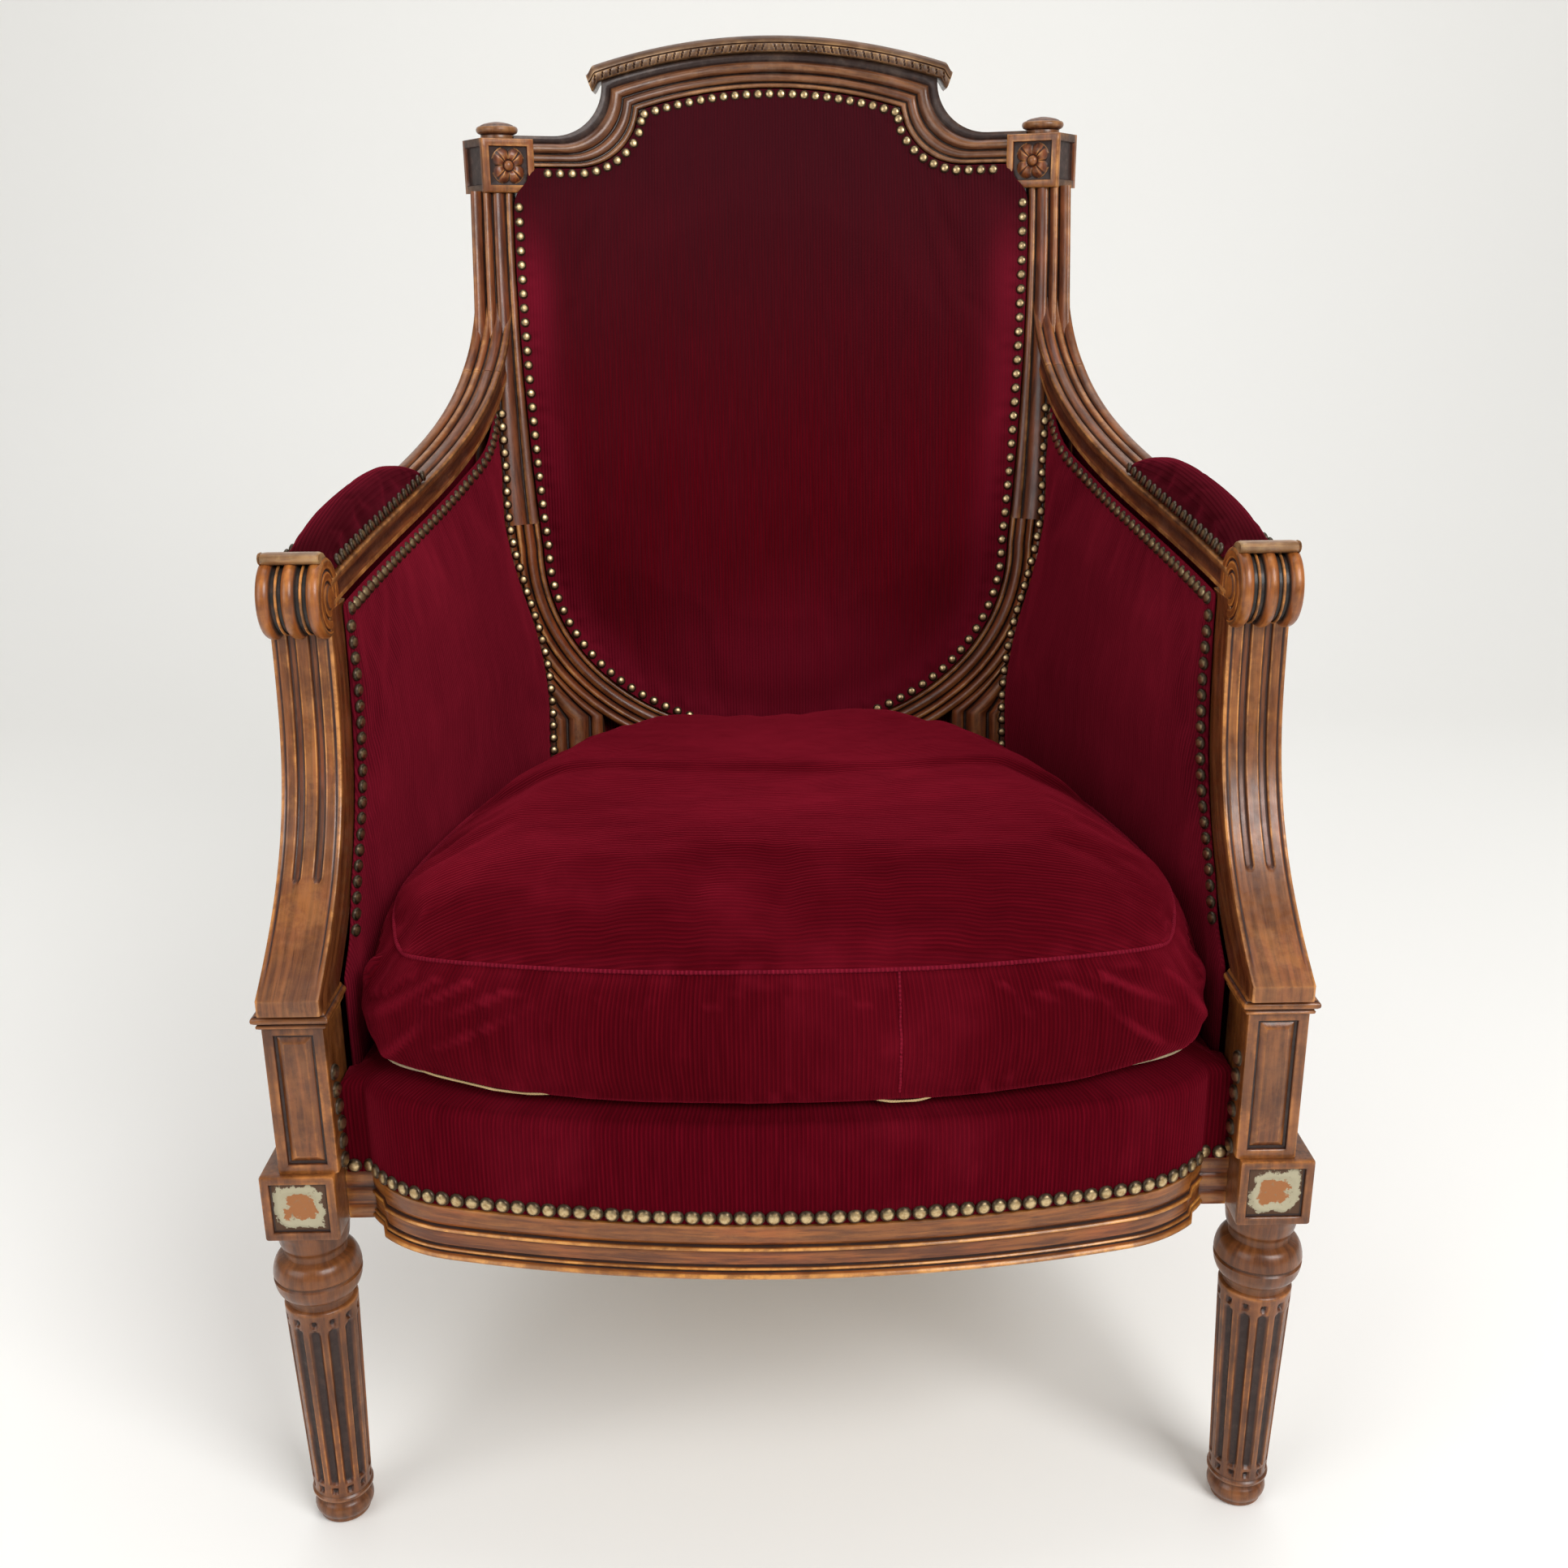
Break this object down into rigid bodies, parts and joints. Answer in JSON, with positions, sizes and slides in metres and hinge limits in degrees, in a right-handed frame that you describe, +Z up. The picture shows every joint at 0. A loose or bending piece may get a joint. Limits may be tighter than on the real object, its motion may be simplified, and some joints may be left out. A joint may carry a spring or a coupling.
{
  "type": "bergere armchair",
  "caption": "Upholstered bergere armchair with a moulded wooden frame, reeded scrolled arms, fluted legs, closed sides, an arched curved back and a loose seat cushion",
  "frame": {"origin": "centre of the bounding box in plan, at floor level under the feet", "axes": "+X to the right as seen from the front, +Y towards the back, +Z up"},
  "size_m": [0.655, 0.7396, 0.9755],
  "materials": {
    "wood": "waxed and worn, red-brown stain with pale rubbed edges",
    "velvet": "finely ribbed crimson velvet",
    "linen": "plain woven cloth",
    "steel": "dull wire",
    "nails": "antiqued dome-headed nails"
  },
  "bodies": {
    "frame": {"front_leg_left": "wood", "front_leg_right": "wood", "arm_support_left": "wood", "arm_support_right": "wood", "armrest_left": "wood", "armrest_right": "wood", "back_post_left": "wood", "back_post_right": "wood", "finial_left": "wood", "finial_right": "wood", "crest_rail": "wood", "crest_cap": "wood", "back_hoop": "wood", "front_seat_rail": "wood", "side_seat_rail_left": "wood", "side_seat_rail_right": "wood", "rear_seat_rail": "wood", "corner_braces": "wood", "webbing": "linen", "seat_springs": "steel", "spring_canvas": "linen", "seat_stuffing": "linen", "seat_cover": "velvet", "back_pad": "velvet", "back_outer_cover": "velvet", "side_pad_left": "velvet", "side_pad_right": "velvet", "side_outer_cover_left": "velvet", "side_outer_cover_right": "velvet", "arm_pad_left": "velvet", "arm_pad_right": "velvet"},
    "cushion": {"cushion_cover": "velvet", "cushion_base_cloth": "linen"}
  },
  "joints": [
    {"name": "cushion_lift", "type": "slide", "parent": "frame", "child": "cushion", "axis": [0, 0, 1], "range_m": [0, 0.65]}
  ]
}
